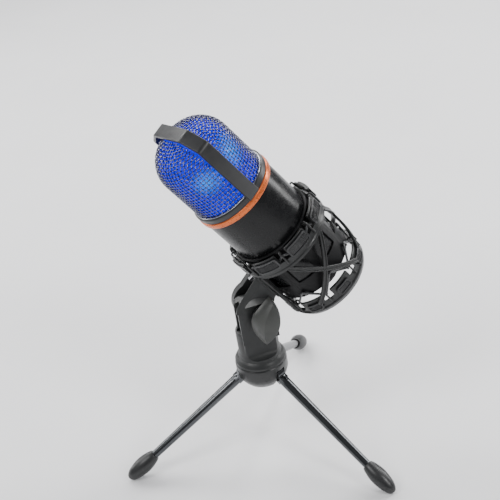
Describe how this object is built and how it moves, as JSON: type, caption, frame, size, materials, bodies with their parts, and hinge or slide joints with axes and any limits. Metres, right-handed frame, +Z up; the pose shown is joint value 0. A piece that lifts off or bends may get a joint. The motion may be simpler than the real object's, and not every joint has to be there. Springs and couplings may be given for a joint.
{
  "type": "desktop condenser microphone",
  "caption": "Desktop condenser microphone with lit wire-mesh head, elastic shock mount, tilting wing-knob swivel and folding tripod with rubber feet.",
  "frame": {"origin": "centre of the whole object's bounding box at floor level", "axes": "+Z up; the head leans back toward -X, one leg points along -X, the tilt pivot runs along Y with the wing knob on the -Y side"},
  "size_m": [0.1688, 0.1688, 0.2302],
  "materials": {
    "black_plastic": "satin black moulded plastic",
    "strap_plastic": "satin dark grey moulded plastic",
    "body_paint": "satin black paint",
    "orange_trim": "satin copper orange paint",
    "mesh_wire": "woven wire, satin",
    "foam": "open-cell foam lit from below",
    "clear_guide": "frosted light guide",
    "circuit_board": "solder mask",
    "components": "moulded packages",
    "led": "white packages with blue emitters",
    "capsule_metal": "plated capsule",
    "screw_steel": "blackened steel",
    "leg_metal": "polished dark metal",
    "foot_rubber": "matte black rubber",
    "elastic": "braided elastic cord",
    "socket_steel": "plated steel shell",
    "stand_plastic": "satin dark grey moulded plastic"
  },
  "bodies": {
    "tripod": {"hub": "stand_plastic", "leg_pins": "screw_steel"},
    "leg_a": {"leg_1": "leg_metal", "foot_1": "foot_rubber"},
    "leg_b": {"leg_2": "leg_metal", "foot_2": "foot_rubber"},
    "leg_c": {"leg_3": "leg_metal", "foot_3": "foot_rubber"},
    "neck": {"neck": "stand_plastic", "pan_screw": "screw_steel"},
    "cage": {"cage_upper_ring": "black_plastic", "cage_lower_ring": "black_plastic", "upper_pads": "strap_plastic", "lower_pads": "strap_plastic", "cage_braces": "black_plastic", "cage_bracket": "black_plastic", "bracket_screws": "screw_steel", "elastic_upper": "elastic", "elastic_lower": "elastic", "swivel_hood": "stand_plastic", "pivot_bolt": "screw_steel", "clamp_washer": "screw_steel"},
    "knob": {"wing_knob": "stand_plastic"},
    "microphone": {"accent_ring": "orange_trim", "grille_frame": "strap_plastic", "grille_mesh": "mesh_wire", "foam_liner": "foam", "light_guide": "clear_guide", "led_board": "circuit_board", "led_chips": "led", "capsule_holder": "black_plastic", "capsule": "capsule_metal", "body_tube": "body_paint", "base_plug": "black_plastic", "base_screws": "screw_steel", "usb_socket": "socket_steel", "board_carrier": "black_plastic", "main_board": "circuit_board", "board_parts": "components", "inner_cradle": "black_plastic"},
    "nut": {"retaining_nut": "black_plastic"}
  },
  "joints": [
    {"name": "neck_pan", "type": "hinge", "parent": "tripod", "child": "neck", "pos_m": [0.01257, 0, 0.0626], "axis": [0, 0, 1], "continuous": true},
    {"name": "head_tilt", "type": "hinge", "parent": "neck", "child": "cage", "pos_m": [0.01657, 0, 0.0986], "axis": [0, 1, 0], "range_deg": [-30, 40]},
    {"name": "wing_knob_turn", "type": "hinge", "parent": "cage", "child": "knob", "pos_m": [0.01657, -0.02, 0.0986], "axis": [0, 1, 0], "continuous": true},
    {"name": "cradle_float", "type": "slide", "parent": "cage", "child": "microphone", "axis": [-0.5377, 0, 0.8431], "range_m": [-0.0012, 0.0012], "stiffness_N_per_m": 6000, "springref_m": 0.0006, "deforming": ["elastic_upper", "elastic_lower"]},
    {"name": "retaining_nut_turn", "type": "hinge", "parent": "microphone", "child": "nut", "pos_m": [0.05535, 0, 0.11575], "axis": [-0.5377, 0, 0.8431], "continuous": true},
    {"name": "leg_a_fold", "type": "hinge", "parent": "tripod", "child": "leg_a", "pos_m": [0.00017, 0, 0.0545], "axis": [0, -1, 0], "range_deg": [0, 56]},
    {"name": "leg_b_fold", "type": "hinge", "parent": "tripod", "child": "leg_b", "pos_m": [0.01877, 0.01074, 0.0545], "axis": [-0.866, 0.5, 0], "range_deg": [0, 56]},
    {"name": "leg_c_fold", "type": "hinge", "parent": "tripod", "child": "leg_c", "pos_m": [0.01877, -0.01074, 0.0545], "axis": [0.866, 0.5, 0], "range_deg": [0, 56]}
  ]
}
